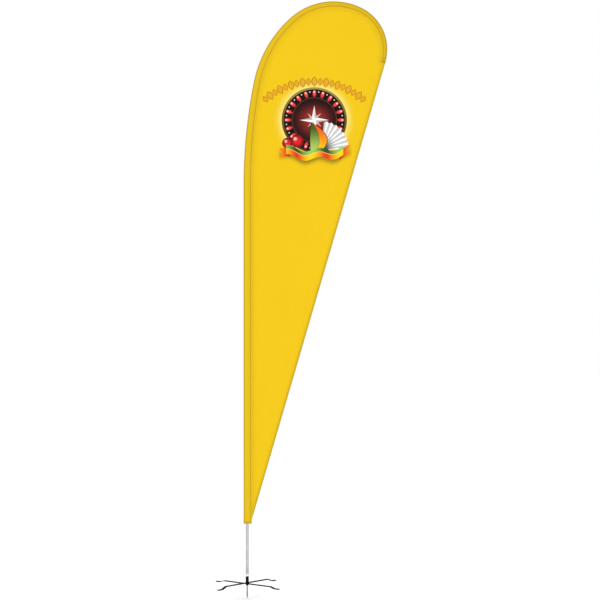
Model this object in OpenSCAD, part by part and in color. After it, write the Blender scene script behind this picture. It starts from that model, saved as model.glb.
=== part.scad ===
// Teardrop flag on a folding cross base with a ground spike.
// Z is up and z = 0 is the ground that the four feet lie on. The mast stands on
// the Z axis, and the flag hangs in the XZ plane, towards +X.

/* [Mast bend] */
// Height at which the straight mast starts to bend
bend_start_z = 2715; // [2500:5:2800]
// Radii of the four arcs that the mast bends through, from the bottom up
bend_radii = [3500, 770, 415, 295];
// Turn of each of those arcs, in degrees
bend_turns = [11, 37, 67, 81.5];

/* [Mast sections] */
// Outside diameter of the lowest, aluminium section
lower_pole_d = 22; // [21:0.5:24]
// Bore of the lowest section, which slips over the spindle pin
lower_pole_bore = 18; // [17.6:0.1:18.4]
// Outside diameter of the middle aluminium section
middle_pole_d = 19; // [18.5:0.5:20]
// Bore of the middle section
middle_pole_bore = 15; // [14:0.5:16]
// Diameter of the upper glass-fibre rod
upper_rod_d = 13; // [10:0.5:13.5]
// Diameter of the thin glass-fibre rod at the tip
tip_rod_d = 9; // [6:0.5:9.5]
// Heights of the two straight push-fit joints
lower_joint_z = 1250; // [1000:10:1400]
middle_joint_z = 2420; // [2300:10:2500]
// Step of the second arc at which the two rods are joined
rod_joint_step = 3; // [2:1:6]
// Length that each push-fit spigot reaches down into the section below
spigot_length = 110; // [80:5:130]

/* [Flag] */
// Height of the flag's lower edge
flag_bottom_z = 417; // [380:1:450]
// Half the flat width of the pole sleeve on the straight mast
sleeve_half_w = 24.6; // [20:0.1:26]
// Half the flat width of the pole sleeve at the tip
sleeve_tip_half_w = 13.5; // [12:0.5:16]
// Half the thickness of the sleeve on the straight mast
sleeve_half_t = 13.2; // [13:0.1:15]
// Half the thickness of the sleeve at the tip
sleeve_tip_half_t = 9.6; // [9:0.1:11]
// Thickness of the sleeve's wall, one ply of cloth
sleeve_wall = 0.8; // [0.6:0.1:1]
// Thickness of the flag's panel
panel_t = 0.6; // [0.5:0.1:1]
// Right-hand edge of the flag's square-cut lower corner
heel_x = 29.8; // [28:0.1:34]
// Height at which the square corner turns into the slanting trailing edge
heel_z = 440; // [440:1:470]
// Depth of the webbing sewn round the sleeve's lower mouth
hem_depth = 16; // [10:1:20]
// Depth of the pocket over the sleeve's tip
pocket_depth = 26; // [20:1:40]

/* [Cross base] */
// Distance from the centre to each foot's end
leg_reach = 265; // [240:1:300]
// Width of the flat leg bars
bar_w = 20; // [18:1:22]
// Thickness of the flat leg bars
bar_t = 5; // [4:0.5:5]
// Direction of the upper leg bar, from the X axis
upper_bar_angle = 45; // [40:1:50]
// Direction of the lower leg bar, from the X axis
lower_bar_angle = -35; // [-40:1:-30]
// Height of the lower leg bar's underside at the centre
lower_bar_z = 10; // [10:0.5:12]
// Where each leg starts to step down, as a share of its reach
step_start = 0.73; // [0.7:0.01:0.75]
// Where each leg has come down to its foot, as a share of its reach
step_end = 0.86; // [0.84:0.01:0.88]
// Radius of the bends in the leg bars, on their inner side
bar_bend_r = 6; // [4:1:8]

/* [Post and spindle] */
// Outside diameter of the bearing post
post_d = 21; // [20:0.5:22]
// Height of the bearing post's top
post_top_z = 62; // [60:1:66]
// Diameter of the pin that the mast slips over
pin_d = 17.5; // [17:0.1:17.5]
// Length of the pin above the nylon collar
pin_length = 138; // [120:1:150]
// Height of the nylon collar that the mast rests on
collar_h = 12; // [8:1:14]

/* [Ground spike] */
// Diameter of the spike's rod
spike_d = 10; // [10:0.5:12]
// Depth of the spike's point below the ground
spike_depth = 88; // [60:1:120]
// Length of the spike's ground point
point_length = 20; // [15:1:25]

/* [Hidden] */
$fn = 64;

bright_steel = [0.7, 0.7, 0.72];
black_paint = [0.08, 0.08, 0.08];
zinc = [0.62, 0.63, 0.64];
aluminium = [0.78, 0.79, 0.8];
glass_fibre = [0.88, 0.88, 0.84];
white_nylon = [0.94, 0.94, 0.92];
black_nylon = [0.07, 0.07, 0.07];
yellow_cloth = [0.96, 0.8, 0.13];
hem_yellow = [0.85, 0.7, 0.15];

// ---- The mast's line: straight up the Z axis, then four arcs that turn it over towards +X ----

arcs = len(bend_radii);
arc_steps = [6, 8, 14, 16]; // stations that each arc is cut into

function total(v, n) = n <= 0 ? 0 : v[n - 1] + total(v, n - 1);
function arc_length(i) = bend_radii[i] * bend_turns[i] * PI / 180;
arc_lengths = [for (i = [0:arcs - 1]) arc_length(i)];
bend_length = total(arc_lengths, arcs);
mast_length = bend_start_z + bend_length;

// Unit vectors in the XZ plane, as [x, z]: along a heading, and to its left
function ahead(heading) = [cos(heading), sin(heading)];
function left(heading) = [-sin(heading), cos(heading)];

function arc_heading(i) = 90 - total(bend_turns, i);
function arc_start(i) = i == 0 ? [0, bend_start_z]
    : arc_centre(i - 1) + bend_radii[i - 1] * left(arc_heading(i));
function arc_centre(i) = arc_start(i) - bend_radii[i] * left(arc_heading(i));
function arc_start_s(i) = bend_start_z + total(arc_lengths, i);

// A station on the mast's line: [x, z, heading, share of the bend that lies below it]
function straight_station(z) = [0, z, 90, 0];
function arc_station(i, share) =
    let (turn = bend_turns[i] * share,
         heading = arc_heading(i) - turn,
         at = arc_centre(i) + bend_radii[i] * left(heading))
    [at[0], at[1], heading, (total(arc_lengths, i) + share * arc_lengths[i]) / bend_length];
function which_arc(s, i = 0) =
    i == arcs - 1 || s < arc_start_s(i + 1) ? i : which_arc(s, i + 1);
function station_at(s) =
    s <= bend_start_z ? straight_station(s)
    : let (i = which_arc(s)) arc_station(i, (s - arc_start_s(i)) / arc_lengths[i]);

// Places a child that is modelled on the Z axis at a distance along the mast
module at_mast(s) {
    at = station_at(s);
    translate([at[0], 0, at[1]]) rotate([0, 90 - at[2], 0]) children();
}

// ---- The cloth: an oval sleeve along the mast, and a flat panel on its inner side ----

function taper(share, low, high) = low + (high - low) * share;
function half_w(share) = taper(share, sleeve_half_w, sleeve_tip_half_w);
function half_t(share) = taper(share, sleeve_half_t, sleeve_tip_half_t);

oval_sides = 20;

// Stations from one distance along the mast to another, with every arc's own stations between
function stations(from_s, to_s) = [
    station_at(from_s),
    if (from_s < bend_start_z && to_s > bend_start_z) straight_station(bend_start_z),
    for (i = [0:arcs - 1], k = [1:arc_steps[i]])
        let (s = arc_start_s(i) + k / arc_steps[i] * arc_lengths[i])
        if (s > from_s + 1 && s < to_s - 1) station_at(s),
    station_at(to_s)
];

// An oval ring of points round a station, with its two half widths
function oval(at, w, t) =
    [for (k = [0:oval_sides - 1])
        let (a = 360 * k / oval_sides, out = w * cos(a) * left(at[2]))
        [at[0] + out[0], t * sin(a), at[1] + out[1]]];

// A closed solid through a list of rings of points
module loft(rings) {
    n = oval_sides;
    last = len(rings) - 1;
    polyhedron(
        points = [for (ring = rings) each ring],
        faces = concat(
            [[for (k = [n - 1:-1:0]) k]],
            [for (r = [0:last - 1], k = [0:n - 1])
                [r * n + k, r * n + (k + 1) % n, (r + 1) * n + (k + 1) % n, (r + 1) * n + k]],
            [[for (k = [0:n - 1]) last * n + k]]));
}

// The sleeve's oval along the mast, grown by a distance all round
module oval_sweep(from_s, to_s, grow) {
    loft([for (at = stations(from_s, to_s)) oval(at, half_w(at[3]) + grow, half_t(at[3]) + grow)]);
}

// A round rod bent along the mast
module round_sweep(from_s, to_s, d) {
    loft([for (at = stations(from_s, to_s)) oval(at, d / 2, d / 2)]);
}

webbing_gap = 0.3; // between the sleeve and the webbing round its ends
webbing_t = 1.2;
seam_gap = webbing_gap + webbing_t + 0.3; // between the sleeve's side and the panel's edge
sleeve_end_s = mast_length - webbing_t - 0.8;
cut = 5; // how far a cutting solid runs past the face that it opens

module pole_sleeve() {
    color(yellow_cloth)
        difference() {
            oval_sweep(flag_bottom_z, sleeve_end_s, 0);
            oval_sweep(flag_bottom_z - cut, mast_length, -sleeve_wall);
        }
}

// Webbing folded over the sleeve's lower mouth
module sleeve_hem() {
    color(hem_yellow)
        difference() {
            oval_sweep(flag_bottom_z, flag_bottom_z + hem_depth, webbing_gap + webbing_t);
            oval_sweep(flag_bottom_z - cut, flag_bottom_z + hem_depth + cut, webbing_gap);
        }
}

// Closed pocket over the sleeve's end, which holds the mast's tip
module tip_pocket() {
    pocket_start_s = mast_length - pocket_depth;
    color(hem_yellow)
        difference() {
            oval_sweep(pocket_start_s, mast_length, webbing_gap + webbing_t);
            oval_sweep(pocket_start_s - cut, mast_length - webbing_t, webbing_gap);
        }
}

// A point beside a station: outward from the mast's line by a distance, and ahead by another
function beside(at, out, on) =
    [at[0], at[1]] + out * left(at[2]) + on * ahead(at[2]);

// The cloth between the sleeve's seam and the straight, slanting trailing edge
module flag_panel() {
    tip = station_at(mast_length);
    seam = [for (at = stations(flag_bottom_z, mast_length)) beside(at, -half_w(at[3]) - seam_gap, 0)];
    outline = concat(
        seam,
        [beside(tip, -half_w(1) - seam_gap, seam_gap), beside(tip, half_w(1), seam_gap)],
        [[heel_x, heel_z], [heel_x, flag_bottom_z]]);
    color(yellow_cloth)
        translate([0, panel_t / 2, 0])
            rotate([90, 0, 0]) linear_extrude(panel_t) polygon(outline);
}

// ---- The mast: two aluminium tubes, then two glass-fibre rods, joined by push-fit spigots ----

slide_fit = 0.05; // radial clearance of a push fit
bond_fit = 0.02; // radial clearance of a bonded or pressed fit
thread_fit = 0.05; // radial clearance of a thread, modelled plain at its pitch diameter
ferrule_t = 0.6;
ferrule_h = 30;
rod_ferrule_t = 1.3;
collar_z = post_top_z + 3; // underside of the nylon collar, on the spindle's flange
mast_foot_z = collar_z + collar_h;
rod_socket = 90; // depth that the upper rod is bonded into its spigot
rod_lap = arc_lengths[1] / arc_steps[1]; // length of each rod inside the rod joint's ferrule
rod_joint_s = arc_start_s(1) + rod_joint_step * rod_lap;
tip_cap_d = 15;
tip_rod_end_s = mast_length - 14;
chamfer = 2; // on the ends that have to be guided into a tube

// A straight tube or flat ring on the Z axis, from one height to another
module ring(from_z, to_z, d, bore) {
    translate([0, 0, from_z])
        difference() {
            cylinder(d = d, h = to_z - from_z);
            translate([0, 0, -cut]) cylinder(d = bore, h = to_z - from_z + 2 * cut);
        }
}

module lower_pole() {
    color(aluminium)
        ring(mast_foot_z, lower_joint_z, lower_pole_d, lower_pole_bore);
}

// Steel ring that keeps the mouth of a tube from spreading
module mouth_ring(top_z, tube_d) {
    color(bright_steel)
        ring(top_z - ferrule_h, top_z, tube_d + 2 * ferrule_t, tube_d + 2 * bond_fit);
}

module lower_pole_ferrule() {
    mouth_ring(lower_joint_z, lower_pole_d);
}

module middle_pole() {
    color(aluminium)
        ring(lower_joint_z, middle_joint_z, middle_pole_d, middle_pole_bore);
}

module middle_pole_ferrule() {
    mouth_ring(middle_joint_z, middle_pole_d);
}

// Stepped plug, fast in the middle tube, that slides down into the lower tube
module lower_joint_spigot() {
    low_r = lower_pole_bore / 2 - slide_fit;
    high_r = middle_pole_bore / 2 - bond_fit;
    high_end_z = lower_joint_z + spigot_length - 10;
    wall = 1.8;
    color(bright_steel)
        rotate_extrude()
            polygon([
                [high_r - wall, lower_joint_z - spigot_length],
                [low_r - chamfer / 2, lower_joint_z - spigot_length],
                [low_r, lower_joint_z - spigot_length + chamfer],
                [low_r, lower_joint_z],
                [high_r, lower_joint_z],
                [high_r, high_end_z],
                [high_r - wall, high_end_z]]);
}

// Socket for the upper rod, with a collar that sits on the middle tube
module upper_joint_spigot() {
    bore_r = upper_rod_d / 2 + bond_fit;
    low_r = middle_pole_bore / 2 - slide_fit;
    low_end_z = middle_joint_z - spigot_length;
    collar_top_z = middle_joint_z + ferrule_h;
    color(bright_steel)
        rotate_extrude()
            polygon([
                [bore_r, low_end_z],
                [bore_r + 0.4 * (low_r - bore_r), low_end_z],
                [low_r, low_end_z + chamfer],
                [low_r, middle_joint_z],
                [middle_pole_d / 2, middle_joint_z],
                [middle_pole_d / 2, collar_top_z - chamfer],
                [middle_pole_d / 2 - chamfer / 2, collar_top_z],
                [bore_r, collar_top_z]]);
}

module upper_rod() {
    color(glass_fibre)
        round_sweep(middle_joint_z - rod_socket, rod_joint_s, upper_rod_d);
}

// Steel tube over the ends of both rods, bent with them
module rod_joint_ferrule() {
    color(bright_steel)
        difference() {
            round_sweep(rod_joint_s - rod_lap, rod_joint_s + rod_lap, upper_rod_d + 2 * rod_ferrule_t);
            round_sweep(rod_joint_s - 2 * rod_lap, rod_joint_s, upper_rod_d + 2 * bond_fit);
            round_sweep(rod_joint_s - rod_lap, rod_joint_s + 2 * rod_lap, tip_rod_d + 2 * bond_fit);
        }
}

module tip_rod() {
    color(glass_fibre)
        round_sweep(rod_joint_s, tip_rod_end_s, tip_rod_d);
}

// Rounded plastic cap that keeps the rod from wearing through the pocket
module tip_cap() {
    skirt = 12;
    crown = 2; // thickness over the rod's end, below the dome
    bore_r = tip_rod_d / 2 + 0.3; // loose enough for the rod's bend
    dome_r = tip_cap_d / 2;
    color("white")
        at_mast(tip_rod_end_s)
            rotate_extrude()
                polygon(concat(
                    [[bore_r, bond_fit], [bore_r, -skirt], [dome_r - 1, -skirt], [dome_r, 1 - skirt]],
                    [for (a = [0:10:80]) dome_r * [cos(a), sin(a)] + [0, crown]],
                    [[0, dome_r + crown], [0, bond_fit]]));
}

// ---- The cross base: two cranked flat bars that turn over each other like scissors ----

washer_t = 1;
running_gap = 0.2;
upper_bar_z = lower_bar_z + bar_t + washer_t + running_gap;
stud_d = 9; // pitch diameter of the 10 mm thread, which stands in for the thread
stud_hole_d = 10.5;
spigot_d = 14; // the post's spigot, on which the upper bar turns
spigot_hole_d = spigot_d + 2 * running_gap;
post_shoulder_z = upper_bar_z + bar_t + running_gap;
bend_steps = 8;

function arc_points(centre, r, from_a, to_a) =
    [for (k = [0:bend_steps])
        let (a = from_a + (to_a - from_a) * k / bend_steps) centre + r * [cos(a), sin(a)]];
function reversed(v) = [for (k = [len(v) - 1:-1:0]) v[k]];
function flipped(v) = [for (p = v) [-p[0], p[1]]];

// Side view of a leg bar whose middle runs at a height and whose feet lie on the ground
function bar_outline(under_z) =
    let (step_x = step_start * leg_reach,
         foot_x = step_end * leg_reach,
         slope = atan(under_z / (foot_x - step_x)),
         outer_r = bar_bend_r + bar_t,
         high = [step_x - bar_bend_r * tan(slope / 2), under_z - bar_bend_r],
         low = [foot_x + outer_r * tan(slope / 2), outer_r],
         under = concat(arc_points(high, bar_bend_r, 90, 90 - slope),
                        arc_points(low, outer_r, 270 - slope, 270), [[leg_reach, 0]]),
         over = concat(arc_points(high, outer_r, 90, 90 - slope),
                       arc_points(low, bar_bend_r, 270 - slope, 270), [[leg_reach, bar_t]]))
    concat(under, reversed(over), flipped(over), reversed(flipped(under)));

// Plan of a leg bar: a strip with its corners cut off
module bar_plan() {
    corner = bar_w / 8;
    far = leg_reach;
    near = leg_reach - corner;
    wide = bar_w / 2;
    narrow = bar_w / 2 - corner;
    polygon([[near, -wide], [far, -narrow], [far, narrow], [near, wide],
             [-near, wide], [-far, narrow], [-far, -narrow], [-near, -wide]]);
}

module leg_bar(under_z, angle, hole_d) {
    color(black_paint)
        rotate([0, 0, angle])
            difference() {
                intersection() {
                    translate([0, bar_w / 2, 0])
                        rotate([90, 0, 0]) linear_extrude(bar_w) polygon(bar_outline(under_z));
                    translate([0, 0, -cut]) linear_extrude(under_z + bar_t + 2 * cut) bar_plan();
                }
                translate([0, 0, under_z - cut]) cylinder(d = hole_d, h = bar_t + 2 * cut);
            }
}

module lower_leg_bar() {
    leg_bar(lower_bar_z, lower_bar_angle, stud_hole_d);
}

module upper_leg_bar() {
    leg_bar(upper_bar_z, upper_bar_angle, spigot_hole_d);
}

module pivot_washer() {
    color(black_nylon)
        ring(lower_bar_z + bar_t, lower_bar_z + bar_t + washer_t, bar_w - 0.5, spigot_hole_d);
}

// ---- The ground spike, screwed up through the bars into the post ----

spike_washer_t = 2;
jam_nut_h = 5;
jam_nut_flats = 16;
stud_top_z = 32;
nut_bottom_z = lower_bar_z - spike_washer_t - jam_nut_h;

module ground_spike() {
    color(zinc)
        rotate_extrude()
            polygon([
                [0, -spike_depth],
                [spike_d / 12, -spike_depth],
                [spike_d / 2, -spike_depth + point_length],
                [spike_d / 2, nut_bottom_z],
                [stud_d / 2, nut_bottom_z],
                [stud_d / 2, stud_top_z - 1],
                [stud_d / 2 - 1, stud_top_z],
                [0, stud_top_z]]);
}

module spike_jam_nut() {
    color(black_paint)
        translate([0, 0, nut_bottom_z])
            difference() {
                rotate([0, 0, 15]) cylinder(d = jam_nut_flats / cos(30), h = jam_nut_h, $fn = 6);
                translate([0, 0, -cut]) cylinder(d = stud_d + 2 * thread_fit, h = jam_nut_h + 2 * cut);
            }
}

module spike_washer() {
    color(black_paint)
        ring(lower_bar_z - spike_washer_t, lower_bar_z, 20, stud_hole_d);
}

// ---- The bearing post, and the spindle that turns in it ----

race_d = 16; // outside diameter of the two small ball bearings
race_h = 5;
shaft_d = 8;
ball_d = 2;
ball_circle_d = 12;
balls = 8; // in each bearing
groove_grow = 0.12; // diameter of a race's groove, beyond the ball's
race_gap = 1.1; // between the balls' circle and each race's edge, on the diameter
cavity_floor_z = 36;
lower_bearing_z = 39;
upper_bearing_z = post_top_z - 7;
bearing_floors = [lower_bearing_z, upper_bearing_z];
clip_play = 0.05; // above and below a clip in its groove
retaining_z = upper_bearing_z + race_h + 2 * clip_play;
retaining_t = 1;
circlip_t = 0.8;
circlip_z = lower_bearing_z - circlip_t - 3 * clip_play;

// Turned steel tube with a spigot below, a tapped hole for the stud and a bearing seat above
module bearing_post() {
    post_r = post_d / 2;
    tap_r = stud_d / 2 + thread_fit;
    seat_r = race_d / 2 + bond_fit;
    ledge_r = race_d / 2 - 1.2;
    groove_r = race_d / 2 + 0.6;
    edge = 0.8;
    color(black_paint)
        rotate_extrude()
            polygon([
                [tap_r, lower_bar_z + bar_t],
                [spigot_d / 2, lower_bar_z + bar_t],
                [spigot_d / 2, post_shoulder_z],
                [post_r - edge, post_shoulder_z],
                [post_r, post_shoulder_z + edge],
                [post_r, post_top_z - edge],
                [post_r - edge, post_top_z],
                [seat_r, post_top_z],
                [seat_r, retaining_z + retaining_t + clip_play],
                [groove_r, retaining_z + retaining_t + clip_play],
                [groove_r, retaining_z - clip_play],
                [seat_r, retaining_z - clip_play],
                [seat_r, lower_bearing_z],
                [ledge_r, lower_bearing_z],
                [ledge_r, cavity_floor_z],
                [0, cavity_floor_z],
                [0, stud_top_z + 1],
                [tap_r, stud_top_z + 1]]);
}

// One race of a ball bearing: a ring with the balls' groove round it
module race(from_z, outer_d, inner_d) {
    translate([0, 0, from_z])
        rotate_extrude()
            difference() {
                translate([inner_d / 2, 0]) square([(outer_d - inner_d) / 2, race_h]);
                translate([ball_circle_d / 2, race_h / 2]) circle(d = ball_d + groove_grow);
            }
}

module bearing_outer_races() {
    color(bright_steel)
        for (z = bearing_floors) race(z, race_d, ball_circle_d + race_gap);
}

module bearing_inner_races() {
    color(bright_steel)
        for (z = bearing_floors) race(z, ball_circle_d - race_gap, shaft_d + 2 * bond_fit);
}

module bearing_balls() {
    color(bright_steel)
        for (z = bearing_floors, k = [0:balls - 1])
            rotate([0, 0, 360 * k / balls])
                translate([ball_circle_d / 2, 0, z + race_h / 2]) sphere(d = ball_d);
}

module bearing_spacer() {
    color(aluminium)
        ring(lower_bearing_z + race_h, upper_bearing_z, race_d - 0.1, race_d - 2.2);
}

// Spring ring whose gap lets it be opened or closed to reach its groove
module open_ring(from_z, height, d, bore, gap_angle) {
    translate([0, 0, from_z])
        rotate_extrude(angle = 360 - gap_angle)
            translate([bore / 2, 0]) square([(d - bore) / 2, height]);
}

module bearing_retaining_ring() {
    color(bright_steel)
        open_ring(retaining_z, retaining_t, race_d + 1, race_d - 2.8, 50);
}

// Shaft below, flange over the post's mouth, and the long pin that carries the mast
module spindle() {
    shaft_r = shaft_d / 2;
    shaft_foot_z = cavity_floor_z + 0.6;
    boss_z = upper_bearing_z + race_h + clip_play;
    boss_r = shaft_r + 1.2;
    flange_z = post_top_z + 0.4;
    flange_r = post_d / 2 - 0.5;
    groove_r = shaft_r - 0.5;
    edge = 0.5;
    pin_top_z = mast_foot_z + pin_length;
    color(bright_steel)
        rotate_extrude()
            polygon([
                [0, shaft_foot_z],
                [shaft_r - edge, shaft_foot_z],
                [shaft_r, shaft_foot_z + edge],
                [shaft_r, circlip_z - clip_play],
                [groove_r, circlip_z - clip_play],
                [groove_r, circlip_z + circlip_t + clip_play],
                [shaft_r, circlip_z + circlip_t + clip_play],
                [shaft_r, boss_z],
                [boss_r, boss_z],
                [boss_r, flange_z],
                [flange_r, flange_z],
                [flange_r, collar_z],
                [pin_d / 2, collar_z],
                [pin_d / 2, pin_top_z - chamfer],
                [pin_d / 2 - chamfer, pin_top_z],
                [0, pin_top_z]]);
}

module spindle_circlip() {
    color(bright_steel)
        open_ring(circlip_z, circlip_t, shaft_d + 3, shaft_d - 0.9, 60);
}

// Nylon collar on the pin, which the foot of the mast rests on
module nylon_collar() {
    color(white_nylon)
        ring(collar_z, mast_foot_z, lower_pole_d, pin_d + 2 * thread_fit);
}

ground_spike();
spike_jam_nut();
spike_washer();
lower_leg_bar();
pivot_washer();
bearing_post();
bearing_outer_races();
bearing_balls();
bearing_spacer();
bearing_retaining_ring();
upper_leg_bar();
spindle();
bearing_inner_races();
spindle_circlip();
nylon_collar();
lower_pole();
lower_pole_ferrule();
middle_pole();
lower_joint_spigot();
middle_pole_ferrule();
upper_rod();
upper_joint_spigot();
rod_joint_ferrule();
tip_rod();
tip_cap();
pole_sleeve();
sleeve_hem();
tip_pocket();
flag_panel();
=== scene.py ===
"""Teardrop flag on a folding cross base: the looks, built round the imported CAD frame."""

import math

import bpy
import numpy as np
from mathutils.geometry import delaunay_2d_cdt
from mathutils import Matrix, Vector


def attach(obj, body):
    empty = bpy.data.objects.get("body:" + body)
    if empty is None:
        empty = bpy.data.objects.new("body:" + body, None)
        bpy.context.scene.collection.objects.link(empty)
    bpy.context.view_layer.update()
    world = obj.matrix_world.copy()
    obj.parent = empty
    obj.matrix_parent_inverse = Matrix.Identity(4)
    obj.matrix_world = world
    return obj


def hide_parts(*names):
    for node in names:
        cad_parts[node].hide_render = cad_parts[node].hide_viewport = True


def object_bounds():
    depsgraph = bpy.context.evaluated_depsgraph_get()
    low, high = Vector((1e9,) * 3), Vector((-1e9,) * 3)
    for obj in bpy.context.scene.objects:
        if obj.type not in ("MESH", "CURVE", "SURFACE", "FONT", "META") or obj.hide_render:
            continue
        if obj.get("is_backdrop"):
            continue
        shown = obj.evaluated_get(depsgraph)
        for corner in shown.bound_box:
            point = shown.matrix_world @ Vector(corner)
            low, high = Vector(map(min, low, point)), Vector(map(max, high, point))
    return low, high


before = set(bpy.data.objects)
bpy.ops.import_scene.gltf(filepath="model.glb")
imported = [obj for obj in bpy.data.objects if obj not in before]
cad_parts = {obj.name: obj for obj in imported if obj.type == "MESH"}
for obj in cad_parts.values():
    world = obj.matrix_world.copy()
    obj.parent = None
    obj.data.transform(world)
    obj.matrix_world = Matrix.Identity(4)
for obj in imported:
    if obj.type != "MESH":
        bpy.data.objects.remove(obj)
cad_low, cad_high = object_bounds()

# ---- Camera ----
# It stands level with the middle of the flag's height and looks straight at the cloth,
# so that the cloth keeps its true outline and the base is seen from a little above.

camera_distance = 10.5
camera_x = 0.355
seen_width = 4.038


def add(name, data):
    """A new object that shows a camera, a lamp or a mesh."""
    thing = bpy.data.objects.new(name, data)
    bpy.context.collection.objects.link(thing)
    return thing


camera = add("camera", bpy.data.cameras.new("camera"))
camera.location = (camera_x, -camera_distance, (cad_low.z + cad_high.z) / 2)
camera.rotation_euler = (math.radians(90), 0, 0)
camera.data.lens = camera.data.sensor_width * camera_distance / seen_width
camera.data.clip_end = 100
bpy.context.scene.camera = camera

# ---- Studio ----
# A pale floor at the level of the spike's point, an even white sky that fills the shadows,
# and three soft lamps: high on the left, low in front of the base, and high behind.

flag_middle = (0.3, 0, 1.9)
base_middle = (0, 0, 0.3)
large_lamp, small_lamp = 3.0, 0.9


def deselect():
    """Leaves nothing selected, so that the next operator acts only on what is added after it."""
    bpy.ops.object.select_all(action="DESELECT")


def lamp(name, place, aim, side, power):
    """A square soft lamp at a place, turned towards the point that it lights."""
    light = bpy.data.lights.new(name, "AREA")
    light.size = side
    light.energy = power
    holder = add(name, light)
    holder.location = place
    turn = [a - p for a, p in zip(aim, place)]
    holder.rotation_euler = (
        math.atan2(math.hypot(turn[0], turn[1]), -turn[2]),
        0,
        math.atan2(turn[1], turn[0]) - math.pi / 2,
    )


lamp("key_lamp", (-4.5, -6.5, 6.0), flag_middle, large_lamp, 90)
lamp("front_lamp", (1.8, -9.5, 1.2), base_middle, small_lamp, 60)
lamp("rim_lamp", (5.5, 5.0, 4.5), flag_middle, large_lamp, 90)

world = bpy.data.worlds.new("studio_sky")
world.use_nodes = True
bpy.context.scene.world = world
sky = world.node_tree.nodes["Background"]
pure_white = (1, 1, 1, 1)
sky.inputs["Color"].default_value = pure_white
sky.inputs["Strength"].default_value = 1.0
bpy.context.scene.view_settings.view_transform = "Standard"

floor_side = 60
deselect()
bpy.ops.mesh.primitive_plane_add(size=floor_side, location=(0, 0, cad_low.z))
floor = bpy.context.active_object
floor.name = "floor"
floor_paint = bpy.data.materials.new("pale_floor")
floor_paint.use_nodes = True
floor_shader = floor_paint.node_tree.nodes["Principled BSDF"]
floor_shader.inputs["Base Color"].default_value = (0.92, 0.92, 0.92, 1)
floor_shader.inputs["Roughness"].default_value = 0.9
floor_shader.inputs["Emission Color"].default_value = pure_white
floor_shader.inputs["Emission Strength"].default_value = 0.1
floor.data.materials.append(floor_paint)
floor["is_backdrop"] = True

# ---- Ground spike ----
# A 10 mm steel rod, pointed below and threaded above, dipped in dull zinc. It holds the
# crossed bars and the post together, and pins them to soft ground.


class Amount:
    """A number that varies over a surface. Arithmetic on it adds Math nodes to its finish."""

    def __init__(self, finish, socket):
        self.finish = finish
        self.socket = socket

    def __add__(self, other):
        return self.finish.maths("ADD", self, other)

    def __radd__(self, other):
        return self.finish.maths("ADD", other, self)

    def __sub__(self, other):
        return self.finish.maths("SUBTRACT", self, other)

    def __rsub__(self, other):
        return self.finish.maths("SUBTRACT", other, self)

    def __mul__(self, other):
        return self.finish.maths("MULTIPLY", self, other)

    def __rmul__(self, other):
        return self.finish.maths("MULTIPLY", other, self)

    def __truediv__(self, other):
        return self.finish.maths("DIVIDE", self, other)

    def __pow__(self, other):
        return self.finish.maths("POWER", self, other)

    def __abs__(self):
        return self.finish.maths("ABSOLUTE", self)

    def __mod__(self, other):
        return self.finish.maths("FLOORED_MODULO", self, other)

    def __round__(self):
        return self.finish.maths("ROUND", self)

    def sin(self):
        return self.finish.maths("SINE", self)

    def cos(self):
        return self.finish.maths("COSINE", self)

    def most(self, other):
        return self.finish.maths("MAXIMUM", self, other)

    def wave(self, length, lead=0.0):
        """Even waves from -1 to 1 of a length in metres, moved on by a lead in radians."""
        return (self * (2 * math.pi / length) + lead).sin()

    def over(self, edge, blur):
        """1 where the number is over the edge and 0 where it is under, with a soft step between."""
        step = self.finish.node(
            "MapRange",
            {"interpolation_type": "SMOOTHSTEP"},
            {"Value": self, "From Min": edge - blur / 2, "From Max": edge + blur / 2},
        )
        return Amount(self.finish, step.outputs["Result"])

    def under(self, edge, blur):
        """1 where the number is under the edge and 0 where it is over."""
        return 1 - self.over(edge, blur)


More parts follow.
